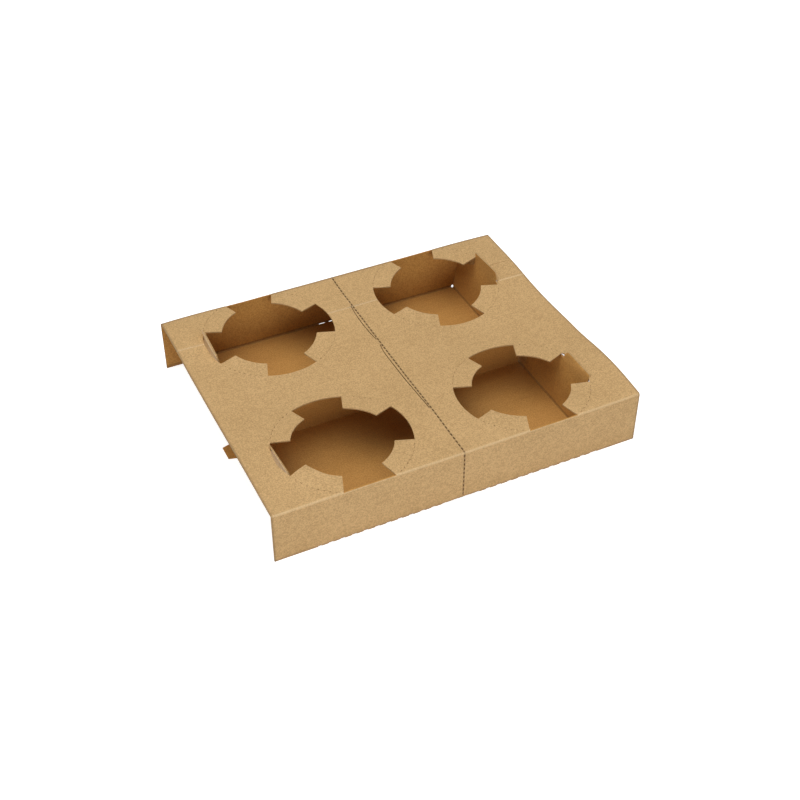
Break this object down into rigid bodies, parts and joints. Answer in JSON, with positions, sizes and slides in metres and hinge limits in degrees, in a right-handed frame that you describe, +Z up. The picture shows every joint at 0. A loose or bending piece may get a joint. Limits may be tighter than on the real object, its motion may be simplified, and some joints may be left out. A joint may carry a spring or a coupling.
{
  "type": "cup carrier",
  "caption": "Folded kraft board cup carrier: a low open-ended sleeve with notched round openings, locked end flaps, a partition and a perforated tear line.",
  "frame": {"origin": "on the underside of the floor, in the middle of the carrier", "axes": "+X along the length to the right end, +Y to the rear wall, +Z up through the panel"},
  "size_m": [0.22, 0.177, 0.0385],
  "materials": {
    "kraft_board": "uncoated, matt"
  },
  "bodies": {
    "root": {"carrier": "kraft_board"}
  },
  "joints": []
}
